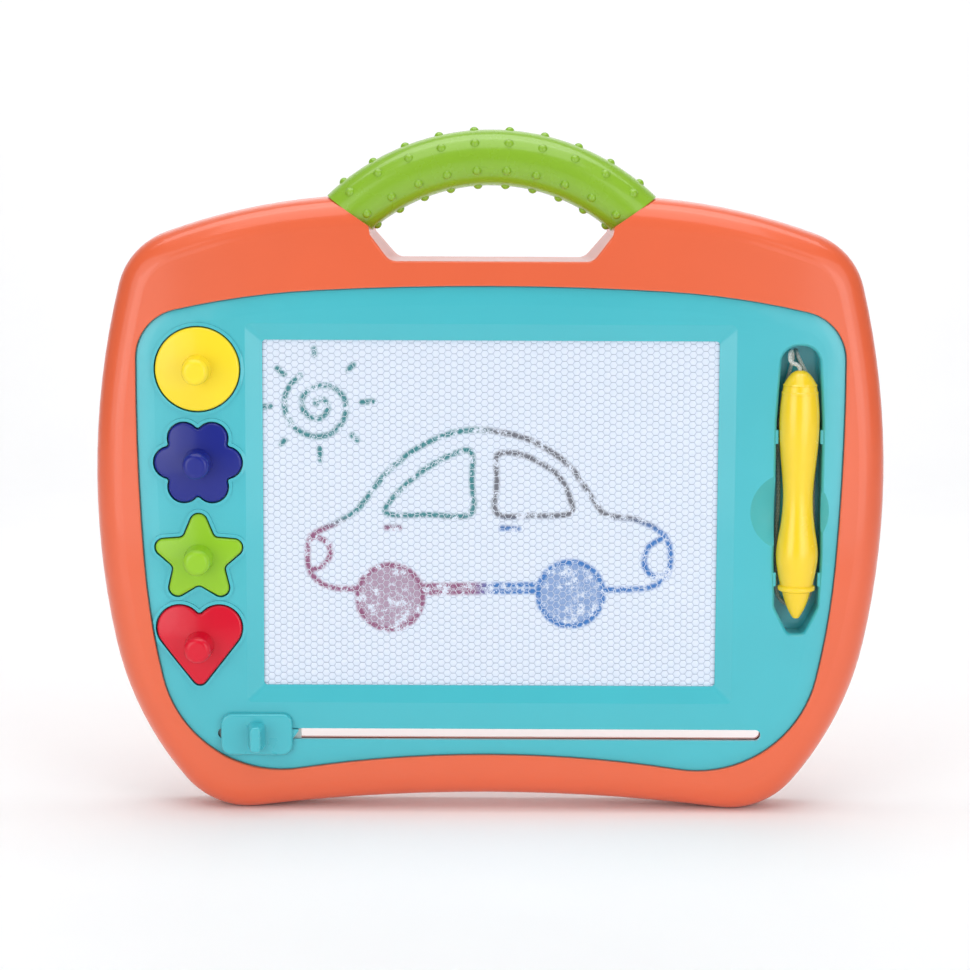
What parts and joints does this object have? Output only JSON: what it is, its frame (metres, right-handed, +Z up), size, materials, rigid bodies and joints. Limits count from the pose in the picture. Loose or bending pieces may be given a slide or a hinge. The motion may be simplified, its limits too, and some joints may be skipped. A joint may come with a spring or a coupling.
{
  "type": "magnetic drawing board",
  "caption": "Child's magnetic drawing board: rounded case with a carrying handle, honeycomb screen, shape stamps, a tethered pen and a sliding eraser.",
  "frame": {"origin": "on the ground, midway between the two bottom lobes that the board stands on, in the plane where the two halves of the case meet", "axes": "+X to the right as seen from the front, +Z up towards the handle, and the front faces -Y"},
  "size_m": [0.3398, 0.0408, 0.2965],
  "materials": {
    "case_orange": "smooth injection-moulded ABS, satin gloss",
    "grip_lime": "glossy moulded grip with raised bumps",
    "panel_teal": "smooth injection-moulded ABS, satin gloss",
    "screen_film": "thin clear film, gloss",
    "screen_core": "honeycomb cells filled with pale liquid",
    "clamp_white": "plain moulded plastic, hidden inside",
    "slider_teal": "smooth moulded ABS",
    "mechanism_white": "plain moulded acetal, hidden inside",
    "magnet_dark": "flexible ferrite magnet",
    "steel_screw": "zinc-plated steel",
    "stamp_yellow": "glossy moulded plastic",
    "stamp_navy": "glossy moulded plastic",
    "stamp_lime": "glossy moulded plastic",
    "stamp_red": "glossy moulded plastic",
    "pen_yellow": "glossy moulded plastic",
    "cord_white": "braided polyester cord"
  },
  "bodies": {
    "board": {"front_frame": "case_orange", "rear_cover": "case_orange", "case_screws": "steel_screw", "handle_grip": "grip_lime", "front_panel": "panel_teal", "panel_screws": "steel_screw", "screen_front_film": "screen_film", "screen_core": "screen_core", "screen_back_film": "screen_film", "screen_clamp_top": "clamp_white", "screen_clamp_bottom": "clamp_white", "clamp_screws": "steel_screw", "tether_cord": "cord_white", "tether_knot": "cord_white"},
    "eraser": {"slider_knob": "slider_teal", "slider_carriage": "mechanism_white", "eraser_bar": "mechanism_white", "eraser_magnet": "magnet_dark", "eraser_screws": "steel_screw"},
    "circle_stamp": {"stamp_circle": "stamp_yellow", "stamp_circle_magnet": "magnet_dark"},
    "flower_stamp": {"stamp_flower": "stamp_navy", "stamp_flower_magnet": "magnet_dark"},
    "star_stamp": {"stamp_star": "stamp_lime", "stamp_star_magnet": "magnet_dark"},
    "heart_stamp": {"stamp_heart": "stamp_red", "stamp_heart_magnet": "magnet_dark"},
    "pen": {"pen_barrel": "pen_yellow", "pen_tail_cap": "pen_yellow", "pen_nose": "pen_yellow", "pen_magnet": "magnet_dark"}
  },
  "joints": [
    {"name": "eraser_slide", "type": "slide", "parent": "board", "child": "eraser", "axis": [1, 0, 0], "range_m": [0, 0.1984]},
    {"name": "circle_stamp_lift", "type": "slide", "parent": "board", "child": "circle_stamp", "axis": [0, -1, 0], "range_m": [0, 0.03]},
    {"name": "flower_stamp_lift", "type": "slide", "parent": "board", "child": "flower_stamp", "axis": [0, -1, 0], "range_m": [0, 0.03]},
    {"name": "star_stamp_lift", "type": "slide", "parent": "board", "child": "star_stamp", "axis": [0, -1, 0], "range_m": [0, 0.03]},
    {"name": "heart_stamp_lift", "type": "slide", "parent": "board", "child": "heart_stamp", "axis": [0, -1, 0], "range_m": [0, 0.03]},
    {"name": "pen_lift", "type": "slide", "parent": "board", "child": "pen", "axis": [0, -1, 0], "range_m": [0, 0.032]}
  ]
}
